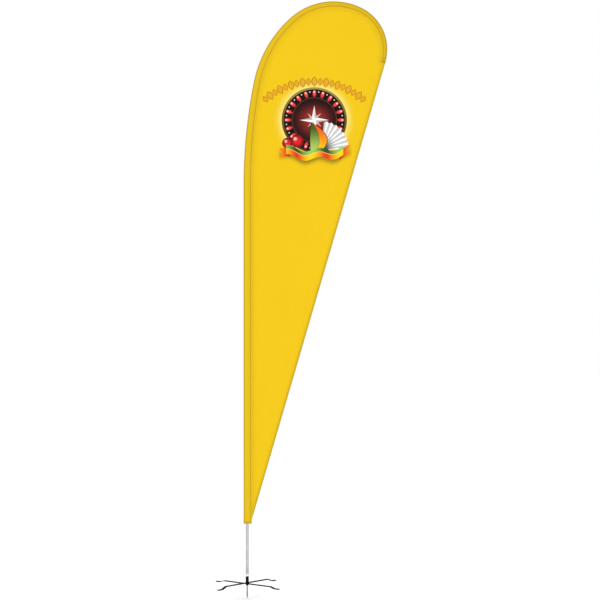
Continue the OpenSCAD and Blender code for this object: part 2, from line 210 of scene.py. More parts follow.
class Finish:
    """One material: a Principled shader, and the nodes that vary it over the surface."""

    def __init__(self, name, roughness, metallic=0.0):
        self.material = bpy.data.materials.new(name)
        self.material.use_nodes = True
        self.tree = self.material.node_tree
        self.shader = self.tree.nodes["Principled BSDF"]
        self.set("Roughness", roughness)
        self.set("Metallic", metallic)

    def feed(self, socket, value):
        """Gives a socket a value, or a link from an amount or another socket."""
        if isinstance(value, Amount):
            value = value.socket
        if isinstance(value, bpy.types.NodeSocket):
            self.tree.links.new(value, socket)
        else:
            socket.default_value = value

    def set(self, name, value):
        """Sets one of the shader's own sockets."""
        self.feed(self.shader.inputs[name], value)

    def node(self, kind, settings=(), sockets=()):
        """A node of a kind, with its settings made first and then its sockets' values or links."""
        made = self.tree.nodes.new("ShaderNode" + kind)
        for name, value in dict(settings).items():
            setattr(made, name, value)
        for name, value in dict(sockets).items():
            self.feed(made.inputs[name], value)
        return made

    def maths(self, operation, *values):
        """The answer of one Math node."""
        made = self.node("Math", {"operation": operation}, dict(enumerate(values)))
        return Amount(self, made.outputs[0])

    def mix(self, below, above, share):
        """A colour laid over another: none of it where share is 0, and all of it where it is 1."""
        factor, first, second, colour = 0, 6, 7, 2  # the sockets of a Mix node that mixes colours
        sockets = {factor: share, first: below, second: above}
        return self.node("Mix", {"data_type": "RGBA"}, sockets).outputs[colour]

    def place(self):
        """The point on the piece, in metres, as a vector."""
        return self.node("TexCoord").outputs["Object"]

    def parts(self, vector):
        """A vector's three numbers."""
        made = self.node("SeparateXYZ", sockets={"Vector": vector})
        return [Amount(self, made.outputs[k]) for k in range(3)]

    def noise(self, vector, scale, detail=2.0, stretch=(1, 1, 1)):
        """Cloudy noise from 0 to 1, about 0.5, with so many clouds to the metre along each axis."""
        turned = self.node("Mapping", sockets={"Vector": vector, "Scale": stretch})
        made = self.node(
            "TexNoise",
            sockets={"Vector": turned.outputs[0], "Scale": scale, "Detail": detail},
        )
        return Amount(self, made.outputs[0])

    def attribute(self, name):
        """A number that is noted at each point of the piece."""
        return Amount(self, self.node("Attribute", {"attribute_name": name}).outputs["Fac"])

    def relief(self, height, depth):
        """Bumps of a depth in metres, from a height between 0 and 1."""
        made = self.node("Bump", sockets={"Height": height, "Distance": depth})
        self.set("Normal", made.outputs[0])

    def cover(self, *pieces):
        """Puts this finish on pieces, in place of what they had."""
        for piece in pieces:
            piece.data.materials.clear()
            piece.data.materials.append(self.material)


def ink(red, green, blue):
    """A colour as it is on a chart, 0 to 255, turned into the linear one that shaders take."""
    shares = [channel / 255 for channel in (red, green, blue)]
    return (*(c / 12.92 if c <= 0.04045 else ((c + 0.055) / 1.055) ** 2.4 for c in shares), 1)


def only(piece):
    """Makes a piece the one that the next operator acts on."""
    deselect()
    piece.select_set(True)
    bpy.context.view_layer.objects.active = piece


same_point = 1e-6
flat_angle = math.radians(0.5)  # facets that turn by less are one face
sharp_angle = math.radians(32)  # edges that turn by more are rounded over


def cast_from(node, name, edge):
    """A new piece in a CAD node's shape that stands for it, with its sharp edges rounded over."""
    piece = add(name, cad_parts[node].data.copy())
    only(piece)
    bpy.ops.object.mode_set(mode="EDIT")
    bpy.ops.mesh.select_all(action="SELECT")
    bpy.ops.mesh.customdata_custom_splitnormals_clear()
    bpy.ops.mesh.remove_doubles(threshold=same_point)
    bpy.ops.mesh.dissolve_limited(angle_limit=flat_angle)
    bpy.ops.object.mode_set(mode="OBJECT")
    bevel = piece.modifiers.new("edge", "BEVEL")
    bevel.limit_method = "ANGLE"
    bevel.angle_limit = sharp_angle
    bevel.width = edge
    bevel.segments = 3
    bpy.ops.object.modifier_apply(modifier="edge")
    bpy.ops.object.shade_smooth_by_angle(angle=sharp_angle)
    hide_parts(node)
    return piece


zinc = Finish("dull_zinc", 0.42, 1.0)
soil_line = -0.045
at = zinc.place()
_, _, z = zinc.parts(at)
spangle = zinc.noise(at, 900, 3)
drawn = zinc.noise(at, 220, 2, (1, 1, 0.04))
soil = z.under(soil_line, 0.05) * zinc.noise(at, 160, 4).over(0.5, 0.2)
plate = zinc.mix(ink(128, 127, 125), ink(164, 163, 160), spangle.over(0.5, 0.5))
zinc.set("Base Color", zinc.mix(plate, ink(112, 98, 82), soil * 0.7))
zinc.set("Roughness", 0.3 + 0.25 * spangle + 0.25 * soil)
zinc.relief(0.5 * drawn + 0.5 * spangle, 0.00006)

spike = cast_from("ground_spike", "spike_rod", 0.0004)
zinc.cover(spike)
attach(spike, "base")

# ---- Leg bars ----
# Two flat steel bars, sheared off square, stepped down near each end in a press and powder
# coated black. The lower is clamped by the spike; the upper turns on the post's spigot.

powder = Finish("black_powder_coat", 0.5)
powder.set("Specular IOR Level", 0.03)
scuffed_beyond = 0.2  # from the post, where feet and bags rub the legs
at = powder.place()
x, y, _ = powder.parts(at)
peel = powder.noise(at, 420, 2)
grit = powder.noise(at, 60, 5)
reach = (x * x + y * y) ** 0.5
scuffed = grit.over(0.66, 0.06) * reach.over(scuffed_beyond, 0.06)
powder.set("Base Color", powder.mix(ink(16, 16, 17), ink(66, 66, 68), scuffed * 0.7))
powder.set("Roughness", 0.42 + 0.14 * grit + 0.2 * scuffed)
powder.relief(peel + 0.4 * grit, 0.00012)

lower_bar = cast_from("lower_leg_bar", "lower_flat_bar", 0.0009)
upper_bar = cast_from("upper_leg_bar", "upper_flat_bar", 0.0009)
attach(lower_bar, "base")
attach(upper_bar, "upper_leg")

# ---- Bearing post, jam nut and washer ----
# A steel tube turned from bar, whose spigot goes down through the upper bar, and whose bored
# top holds the two ball bearings. The nut and washer on the spike draw it down on the bars.

post = cast_from("bearing_post", "post_tube", 0.0005)
nut = cast_from("spike_jam_nut", "spike_nut", 0.0005)
washer = cast_from("spike_washer", "spike_washer_plate", 0.0003)
for piece in (post, nut, washer):
    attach(piece, "base")
black_pieces = (lower_bar, upper_bar, post, nut, washer)
powder.cover(*black_pieces)
for piece in black_pieces:
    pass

# ---- Pivot washer ----
# A thin ring stamped from black nylon sheet. It lies between the two bars, round the post's
# spigot, and lets the upper bar turn.

black_nylon = Finish("black_nylon", 0.5)
black_nylon.set("Specular IOR Level", 0.1)
rubbed = black_nylon.noise(black_nylon.place(), 300, 3)
black_nylon.set("Base Color", black_nylon.mix(ink(16, 16, 16), ink(30, 30, 30), rubbed))
black_nylon.set("Roughness", 0.4 + 0.2 * rubbed)
black_nylon.relief(rubbed, 0.00003)

pivot = cast_from("pivot_washer", "pivot_ring", 0.0002)
black_nylon.cover(pivot)
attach(pivot, "base")

# ---- Bearings, clips and spindle ----
# Hardened steel bearings, spring steel clips and a turned steel spindle. Only the spindle's
# flange and, with the mast off, its long pin can be seen.

steel = Finish("turned_steel", 0.25, 1.0)
at = steel.place()
_, _, z = steel.parts(at)
tool_marks = z.wave(0.0004)
smear = steel.noise(at, 130, 3)
steel.set("Base Color", steel.mix(ink(150, 151, 154), ink(186, 187, 189), smear))
steel.set("Roughness", 0.2 + 0.18 * smear)
steel.relief(0.5 + 0.3 * tool_marks, 0.00001)

spindle = cast_from("spindle", "spindle_shaft", 0.0005)
steel.cover(spindle)
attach(spindle, "spindle")
for node in (
    "bearing_outer_races",
    "bearing_balls",
    "bearing_retaining_ring",
    "bearing_inner_races",
    "spindle_circlip",
):
    steel.cover(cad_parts[node])

# ---- Nylon collar and mast cap ----
# White nylon, turned from rod and parted off. The collar carries the foot of the mast, and
# the cap is pressed on the tip of the last rod.

nylon = Finish("white_nylon", 0.5)
at = nylon.place()
_, _, z = nylon.parts(at)
handled = nylon.noise(at, 240, 3)
clean = handled.over(0.45, 0.6)
rings = z.wave(0.0006)
nylon.set("Base Color", nylon.mix(ink(232, 231, 228), ink(244, 244, 242), clean))
nylon.set("Roughness", 0.42 + 0.15 * handled)
nylon.set("Subsurface Weight", 0.15)
nylon.set("Subsurface Radius", (0.003, 0.003, 0.003))
nylon.relief(0.5 + 0.3 * rings, 0.00002)

collar = cast_from("nylon_collar", "mast_collar", 0.0008)
nylon.cover(collar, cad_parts["tip_cap"])
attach(collar, "spindle")

# ---- Aluminium tubes ----
# Drawn tube with a clear anodised skin: fine lines run along it from the die. Its mouths have
# steel rings, and the mast's sections join on steel plugs. The cloth leaves only the lower
# tube's foot bare.

tube_skin = Finish("drawn_aluminium", 0.3, 1.0)
at = tube_skin.place()
die_lines = tube_skin.noise(at, 1500, 3, (1, 1, 0.004))
patches = tube_skin.noise(at, 14, 3)
brighter = patches.over(0.5, 0.5)
tube_skin.set("Base Color", tube_skin.mix(ink(174, 174, 173), ink(196, 196, 195), brighter))
tube_skin.set("Roughness", 0.24 + 0.16 * die_lines + 0.06 * patches)
tube_skin.relief(die_lines, 0.00004)
for node in ("lower_pole", "middle_pole", "bearing_spacer"):
    tube_skin.cover(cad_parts[node])
for node in (
    "lower_pole_ferrule",
    "middle_pole_ferrule",
    "lower_joint_spigot",
    "upper_joint_spigot",
    "rod_joint_ferrule",
):
    steel.cover(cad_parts[node])

# ---- Glass-fibre rods ----
# Pultruded rods, off-white, with the glass fibres showing as fine lines. The cloth's cut
# holds them in their bend.

fibre = Finish("glass_fibre", 0.35)
at = fibre.place()
strands = fibre.noise(at, 700, 4, (1, 1, 0.05))
fibre.set("Base Color", fibre.mix(ink(204, 203, 190), ink(238, 237, 228), strands))
fibre.set("Roughness", 0.3 + 0.2 * strands)
fibre.relief(strands, 0.00005)
fibre.cover(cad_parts["upper_rod"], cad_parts["tip_rod"])

# ---- Pole sleeve ----
# A strip of heavier knitted polyester, folded round the mast and sewn to both faces of the
# panel's edge. It puckers a little at the seam, and more where it goes round the bend.

bend_start = 2.715
bends = ((3.5, 11), (0.77, 37), (0.415, 67), (0.295, 81.5))  # radius and degrees, from the bottom
bend_length = sum(radius * math.radians(turn) for radius, turn in bends)
mast_length = bend_start + bend_length
flag_foot = 0.417
heel = (0.0298, 0.440)  # where the square lower corner turns into the slanting free edge
sleeve_half_width = (0.0246, 0.0135)  # on the straight mast, and at the tip
sleeve_half_depth = (0.0129, 0.0093)
sleeve_end = mast_length - 0.012
flange = 0.011  # how far the sleeve's two plies reach over the panel
ply_gap = 0.0006  # from the panel's middle to each ply
hem_turn = 0.012  # depth of the hem along the free edge
hem_bulk = 0.0007  # how much the free edge's hem lifts the plies that it lies between
bulk_fade = 0.02  # the height over which that lift dies away
short_of_edge = 0.0003  # from the plies' ends to the free edge, where the panel is narrow
sleeve_ply = 0.0004
row_gap = 0.006


def mast(s):
    """The mast's line at a distance along it: its x, z and heading, in radians from +X."""
    spot = complex(0, min(s, bend_start))
    heading = math.pi / 2
    left = s - bend_start
    for radius, turn in bends:
        if left <= 0:
            break
        swept_angle = min(left, radius * math.radians(turn)) / radius
        spot += radius * -1j * (1 - np.exp(-1j * swept_angle)) * np.exp(1j * heading)
        heading -= swept_angle
        left -= radius * math.radians(turn)
    spot += max(left, 0) * np.exp(1j * heading)
    return spot.real, spot.imag, heading


def beside_mast(s, inward, on=0.0):
    """A point of the flag's plane beside the mast's line, inward from it, and on along it."""
    x, z, heading = mast(s)
    return (
        x + inward * math.sin(heading) + on * math.cos(heading),
        z - inward * math.cos(heading) + on * math.sin(heading),
    )


def along_bend(s, pair):
    """A size that tapers evenly along the bend, from the first of the pair to the second."""
    share = min(max((s - bend_start) / bend_length, 0), 1)
    return pair[0] + (pair[1] - pair[0]) * share


def ease(share):
    """A smooth step from 0 to 1."""
    share = min(max(share, 0), 1)
    return share * share * (3 - 2 * share)


tip_outer = beside_mast(mast_length, -sleeve_half_width[1], 0.001)
edge_slope = (tip_outer[0] - heel[0]) / (tip_outer[1] - heel[1])


def panel_width(z):
    """How far the panel reaches beyond the straight sleeve at a height."""
    return heel[0] + max(z - heel[1], 0) * edge_slope - sleeve_half_width[0]


hem_clear_z = heel[1] + (flange + hem_turn - panel_width(heel[1])) / edge_slope


def flange_reach(s):
    """How far the plies reach over the panel: less at the narrow foot."""
    return min(flange, panel_width(s) - short_of_edge)


def flange_gap(s):
    """How far each ply of the flange lies from the panel's middle."""
    return ply_gap + hem_bulk * (1 - ease((s - hem_clear_z) / bulk_fade))


round_steps, flange_steps = 28, 3
front_rounding = 1.15  # how much flatter than an oval the sleeve is, on the mast's outer side


def sleeve_loop(s, grow=0.0, reach=None):
    """The sleeve's cross-section, as (inward, y) points from one ply's end round to the other's."""
    half_width = along_bend(s, sleeve_half_width)
    half_depth = along_bend(s, sleeve_half_depth)
    reach = flange_reach(s) if reach is None else reach
    gap = flange_gap(s) + grow
    loop = [(half_width + reach * (1 - k / flange_steps), -gap) for k in range(flange_steps)]
    for k in range(round_steps + 1):
        angle = 2 * math.pi * k / round_steps
        across = math.cos(angle)
        side = -1 if k <= round_steps / 2 else 1
        if across >= 0:
            rise = gap + (half_depth + grow - gap) * math.cos(math.pi / 2 * across)
        else:
            rise = (half_depth + grow) * abs(math.sin(angle)) ** front_rounding
        loop.append(((half_width + (grow if across < 0 else 0)) * across, side * rise))
    return loop + [
        (half_width + reach * k / flange_steps, gap) for k in range(1, flange_steps + 1)
    ]


fine_pucker, slow_pucker = 0.043, 0.19  # length of each along the mast
pucker_height = 0.0007


def pucker(s, inward, y):
    """How far the sleeve's cloth stands out or in at a point, in metres."""
    half_width = along_bend(s, sleeve_half_width)
    bent = ease((s - bend_start + 0.3) / 0.9)
    across = max(min(inward / half_width, 1), -1)
    weight = (1 - across * across) * (0.35 + 0.65 * (across + 1) / 2)
    fine = math.sin(s * 2 * math.pi / fine_pucker + 1.7 * math.sin(s * 9.1)) * (0.2 + 0.8 * bent)
    slow = math.sin(s * 2 * math.pi / slow_pucker + (0.8 if y > 0 else 2.9)) * 0.6
    return pucker_height * weight * (fine * (0.7 + 0.3 * math.sin(s * 23 + y * 60)) + slow)


def smooth_piece(name, points, faces):
    """A smooth piece from its points and faces."""
    mesh = bpy.data.meshes.new(name)
    mesh.from_pydata(points, [], faces)
    mesh.polygons.foreach_set("use_smooth", [True] * len(mesh.polygons))
    return add(name, mesh)


def cloth_mesh(name, points, faces, cut):
    """A cloth piece from its points, with a UV map that holds its place in the flat cut."""
    piece = smooth_piece(name, points, faces)
    mesh = piece.data
    layer = mesh.uv_layers.new(name="cut")
    corners = np.empty(len(mesh.loops), dtype=np.int32)
    mesh.loops.foreach_get("vertex_index", corners)
    layer.data.foreach_set("uv", np.asarray(cut, dtype=np.float32)[corners].ravel())
    return piece


def note(piece, name, values):
    """Writes a number at each point of a piece, for its finish to read."""
    made = piece.data.attributes.new(name, "FLOAT", "POINT")
    made.data.foreach_set("value", np.asarray(values, dtype=np.float32))


def sheet_of_rows(name, rows, cuts):
    """A cloth piece from rows with as many points each, and the flat place of each point."""
    wide = len(rows[0])
    faces = [
        (r * wide + k, r * wide + k + 1, (r + 1) * wide + k + 1, (r + 1) * wide + k)
        for r in range(len(rows) - 1)
        for k in range(wide - 1)
    ]
    points, cut = ([spot for row in grid for spot in row] for grid in (rows, cuts))
    return cloth_mesh(name, points, faces, cut)


def thicken(piece, thickness):
    """Gives a cloth piece its thickness, half of it on each side."""
    only(piece)
    wall = piece.modifiers.new("ply", "SOLIDIFY")
    wall.thickness = thickness
    wall.offset = 0
    bpy.ops.object.modifier_apply(modifier="ply")


def wrapped(name, sections, move=None):
    """A cloth piece round the mast, from a list of (distance, cross-section) pairs."""
    rows, cuts, from_fold, past_seam = [], [], [], []
    for s, loop in sections:
        row, around = [], [0.0]
        for k, (inward, y) in enumerate(loop):
            if k:
                around.append(around[-1] + math.dist(loop[k - 1], (inward, y)))
            lift = move(s, inward, y) if move else 0.0
            x, z = beside_mast(s, inward)
            row.append((x, y + math.copysign(lift, y), z))
        rows.append(row)
        cuts.append([(reach, s) for reach in around])
        from_fold += [abs(reach - around[-1] / 2) for reach in around]
        past_seam += [inward - along_bend(s, sleeve_half_width) for inward, _ in loop]
    piece = sheet_of_rows(name, rows, cuts)
    note(piece, "from_fold", from_fold)
    note(piece, "past_seam", past_seam)
    return piece


row_count = round((sleeve_end - flag_foot) / row_gap)
sleeve_rows = [flag_foot + (sleeve_end - flag_foot) * k / row_count for k in range(row_count + 1)]
sleeve = wrapped("pole_sleeve_cloth", [(s, sleeve_loop(s)) for s in sleeve_rows], pucker)
sleeve_area = sum(face.area for face in sleeve.data.polygons)
thicken(sleeve, sleeve_ply)


def cloth_finish(name, colour, shade, pitch):
    """A dyed knit: its courses and wales, its matt face, a slight unevenness of colour, and painted
    shade in the knit's hollows.
    """
    finish = Finish(name, 0.8)
    finish.set("Sheen Weight", 0.03)
    finish.set("Specular IOR Level", 0.1)
    cut = finish.node("UVMap", {"uv_map": "cut"}).outputs[0]
    around, along, _ = finish.parts(cut)
    wales = around.wave(pitch)
    courses = along.wave(pitch, 1.2 * wales)
    weave = 0.5 + 0.2 * wales + 0.3 * courses
    cloud = finish.noise(cut, 3.0, 3)
    slub = finish.noise(cut, 260, 2, (1, 0.15, 1))
    finish.relief(weave + 0.5 * slub, 0.0003)
    finish.set("Roughness", 0.72 + 0.16 * slub)
    # The shade colour goes where the large clouds are dark, which is uneven dye, and where the
    # knit's relief is low, which is painted shade in its hollows.
    dye_and_shade = finish.mix(colour, shade, 0.25 * cloud.over(0.5, 0.6) + 0.7 * (1 - weave) - 0.15)
    finish.set("Base Color", dye_and_shade)
    return finish, dye_and_shade, cut


knit_pitch = 0.0011
seam_yellow = ink(228, 190, 28)
sleeve_finish, dye_and_shade, cut = cloth_finish(
    "sleeve_cloth", ink(224, 187, 28), ink(213, 176, 25), knit_pitch
)
_, along, _ = sleeve_finish.parts(cut)
from_fold = sleeve_finish.attribute("from_fold")
past_seam = sleeve_finish.attribute("past_seam")
# Darker along the bend, towards the tip.
dye_and_shade = sleeve_finish.mix(dye_and_shade, ink(204, 168, 24), 0.7 * along.over(4.1, 1.0))
# Painted shade along the sleeve's outer fold, where its round turns away from the light.
dye_and_shade = sleeve_finish.mix(dye_and_shade, ink(168, 138, 22), 0.9 * from_fold.under(0.011, 0.020))
# Painted shade in the crease where the sleeve's round meets its flat flange at the seam.
dye_and_shade = sleeve_finish.mix(dye_and_shade, ink(188, 153, 20), 0.8 * past_seam.over(-0.004, 0.006))
dye_and_shade = sleeve_finish.mix(dye_and_shade, seam_yellow, past_seam.over(0.0015, 0.002))
sleeve_finish.set("Base Color", dye_and_shade)
sleeve_finish.cover(sleeve)
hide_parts("pole_sleeve")
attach(sleeve, "flag_head")

# ---- Webbing at the sleeve's mouth ----
# Woven tape, 16 mm deep, folded over the sleeve's lower edge and the square corner of the
# panel, and sewn down with two rows. It takes the rub of the mast.

tape_depth = 0.016
tape_ply = 0.0006
tape_out = 0.0009  # from the sleeve's cloth to the tape's middle
tape_pitch = 0.0016  # of its weave
past_edge = 0.0007  # from the panel's free edge to where the tape's two sides meet its nose
nose = 0.0006  # how far the nose stands out beyond them


def closed(loop):
    """A cross-section closed round the panel's free edge with a small round nose."""
    return [(loop[0][0] + nose, 0)] + loop + [(loop[-1][0] + nose, 0)]


def tape_loop(s, out):
    """The tape's cross-section, so far out from the sleeve's cloth."""
    return closed(sleeve_loop(s, out, panel_width(s) + past_edge))


tape_rows = [
    (0, 0.0001), (0, 0.0006), (0.0008, tape_out), (0.005, tape_out), (0.010, tape_out),
    (0.015, tape_out), (tape_depth, 0.0005),
]  # rise over the flag's foot, and distance out from the sleeve's cloth
hem_tape = wrapped(
    "sleeve_mouth_tape",
    [(flag_foot + rise, tape_loop(flag_foot + rise, out)) for rise, out in tape_rows],
)
thicken(hem_tape, tape_ply)

webbing, dye_and_shade, cut = cloth_finish("woven_tape", ink(202, 168, 38), ink(188, 154, 34), tape_pitch)
_, along, _ = webbing.parts(cut)
# Darker towards the tape's lower fold at the flag's foot.
toward_foot = along.under(flag_foot + 0.002, 0.006)
webbing.set("Base Color", webbing.mix(dye_and_shade, ink(176, 142, 34), 0.7 * toward_foot))
webbing.cover(hem_tape)
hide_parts("sleeve_hem")
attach(hem_tape, "flag_head")

# ---- Pocket at the tip ----
# A doubled piece of the same tape, sewn over the sleeve's end and shut flat beyond it. The
# mast's rounded cap pushes into it, and that is what bends the rods.

pocket_shape = [
    (-0.026, 1), (-0.0255, 1), (-0.018, 1), (-0.012, 0.98), (-0.009, 0.92), (-0.007, 0.8),
    (-0.0055, 0.62), (-0.004, 0.36), (-0.003, 0.16), (-0.002, 0.04), (-0.001, 0), (0.0028, 0),
]  # distance on from the mast's end, and share of the sleeve's depth
shut_gap = 0.0013
pocket_ply = 0.0007
pocket_sections = []
for on, fullness in pocket_shape:
    loop = sleeve_loop(mast_length + on, tape_out, flange + 0.0008)
    loop = [
        (inward, math.copysign(shut_gap + (abs(y) - shut_gap) * fullness, y)) for inward, y in loop
    ]
    fold = len(loop) // 2
    loop[fold] = (loop[fold][0] - 0.0005, 0)
    pocket_sections.append((mast_length + on, closed(loop)))
pocket = wrapped("mast_tip_pocket", pocket_sections)
thicken(pocket, pocket_ply)
pocket_finish, dye_and_shade, cut = cloth_finish(
    "tip_webbing", ink(200, 165, 22), ink(188, 154, 20), tape_pitch
)
_, along, _ = pocket_finish.parts(cut)
past_seam = pocket_finish.attribute("past_seam")
end_shade = along.over(mast_length - 0.002, 0.006) * past_seam.under(0.002, 0.003)
dye_and_shade = pocket_finish.mix(dye_and_shade, seam_yellow, 0.8 * past_seam.over(0.0015, 0.002))
pocket_finish.set("Base Color", pocket_finish.mix(dye_and_shade, ink(160, 130, 20), 0.7 * end_shade))
pocket_finish.cover(pocket)
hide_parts("tip_pocket")
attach(pocket, "flag_head")

# ---- Flag panel ----
# One piece of light knitted polyester, printed through. The sleeve holds its curved edge
# flat; elsewhere it hangs in shallow folds that run with the pull along its free edge.

panel_inset = 0.001  # from the sleeve's side to the panel's cut edge, inside the plies
panel_ply = 0.0005
edge_step = 0.01  # between the points on the outline
cloth_step = 0.013  # between the points inside it
clear_of_edge = 0.007
tip_inner = beside_mast(mast_length, sleeve_half_width[1] + panel_inset, 0.001)


def evenly(start, end, gap):
    """Points from start up to but not including end, about a gap apart."""
    count = max(1, round(math.dist(start, end) / gap))
    return [tuple(a + (b - a) * k / count for a, b in zip(start, end)) for k in range(count)]


seam_steps = round((mast_length - flag_foot) / edge_step)
seam_at = [flag_foot + (mast_length - flag_foot) * k / seam_steps for k in range(seam_steps + 1)]
seam_line = [beside_mast(s, along_bend(s, sleeve_half_width) + panel_inset) for s in seam_at]
corners = [tip_inner, tip_outer, heel, (heel[0], flag_foot), seam_line[0]]
outline = list(seam_line)
for start, end in zip(corners, corners[1:]):
    outline += evenly(start, end, edge_step)

seam_array = np.array(seam_line)
ring = np.array(outline)
edge_run = np.array(tip_outer) - np.array(heel)
edge_length = float(np.hypot(*edge_run))
edge_run = edge_run / edge_length
edge_side = np.array((-edge_run[1], edge_run[0]))  # from the free edge into the panel


def near_seam(spots):
    """Each spot's distance from the seam, and how far along the mast its nearest point is."""
    gaps = np.hypot(*(spots[:, None, :] - seam_array[None, :, :]).transpose(2, 0, 1))
    nearest = gaps.argmin(axis=1)
    return gaps[np.arange(len(spots)), nearest], np.array(seam_at)[nearest]


def from_free_edge(spots):
    """Each spot's distance inside the free edge, and its distance up along it from the heel."""
    offset = spots - np.array(heel)
    return np.maximum(offset @ edge_side, 0), offset @ edge_run


belly_depth, fold_height, broad_height, tug_height = 0.016, 0.0022, 0.0035, 0.0008
fold_gap, tug_gap = 0.13, 0.085  # from one long fold to the next, and one tug to the next


def folds(spots):
    """How far the cloth stands out of its plane, in metres: a soft belly, long folds and tugs."""
    seam, s = near_seam(spots)
    inside, up = from_free_edge(spots)
    held = 1 - np.exp(-np.maximum(seam - 0.014, 0) / 0.06)
    share = seam / (seam + inside + 1e-6)
    ends = np.clip(up / 0.9, 0, 1) * np.clip((edge_length - up) / 0.5, 0, 1)
    belly = belly_depth * np.sin(np.pi * np.clip(share * 0.8, 0, 1)) * ends
    wander = 0.5 * np.sin(up * 2.3) + 0.35 * np.sin(up * 4.9 + 1.0)
    taut = np.sin(2 * np.pi * inside / fold_gap + wander)
    taut = taut * np.exp(-(((inside - 0.08) / 0.13) ** 2))
    broad = np.sin(spots[:, 0] * 7.1 + spots[:, 1] * 2.3) * np.sin(spots[:, 1] * 3.7 + 0.6)
    tugs = np.sin(s * 2 * np.pi / tug_gap + 1.3 * np.sin(s * 5.3))
    tugs = tugs * np.exp(-seam / 0.045) * np.clip((seam - 0.012) / 0.02, 0, 1)
    slack = belly + fold_height * taut * ends + broad_height * broad * ends
    return held * slack + tug_height * tugs


def inside_outline(spots):
    """True for each spot that lies inside the panel's outline."""
    hits = np.zeros(len(spots), dtype=int)
    for (ax, az), (bx, bz) in zip(ring, np.roll(ring, -1, axis=0)):
        if az != bz:
            crosses = (az > spots[:, 1]) != (bz > spots[:, 1])
            hits += crosses & (spots[:, 0] < ax + (spots[:, 1] - az) * (bx - ax) / (bz - az))
    return hits % 2 == 1


lattice_width, lattice_height = 1.0, 3.6  # a little more than the panel's
row_step = cloth_step * math.sqrt(3) / 2
lattice = np.array(
    [
        (c * cloth_step + (r % 2) * cloth_step / 2, flag_foot + r * row_step)
        for r in range(int(lattice_height / row_step))
        for c in range(int(lattice_width / cloth_step))
    ]
)
lattice = lattice[inside_outline(lattice)]
lattice = lattice[[np.min(np.hypot(*(ring - spot).T)) > clear_of_edge for spot in lattice]]
cut_points = outline + [tuple(p) for p in lattice]
loop_edges = [(k, (k + 1) % len(outline)) for k in range(len(outline))]
flat_points, _, flat_faces, _, _, _ = delaunay_2d_cdt(
    cut_points, loop_edges, [list(range(len(outline)))], 1, 1e-7
)
flat = np.array([tuple(p) for p in flat_points])
panel = cloth_mesh(
    "printed_panel",
    [(x, depth, z) for (x, z), depth in zip(flat, folds(flat))],
    [tuple(face) for face in flat_faces],
    flat,
)
note(panel, "from_seam", near_seam(flat)[0])
note(panel, "from_edge", from_free_edge(flat)[0])
panel_area = 0.5 * abs(np.sum(np.cross(ring, np.roll(ring, -1, axis=0))))
thicken(panel, panel_ply)

# The print: a medallion with a compass star, a white fan, berries, a leaf and a ribbon in
# front of it, and a garland over it. It is laid out in metres from the medallion's centre.

medallion_centre = (0.4515, 3.1345)
disc = 0.220  # the medallion's radius
ribbon_wave = 0.2  # from crest to crest
blur = 0.002


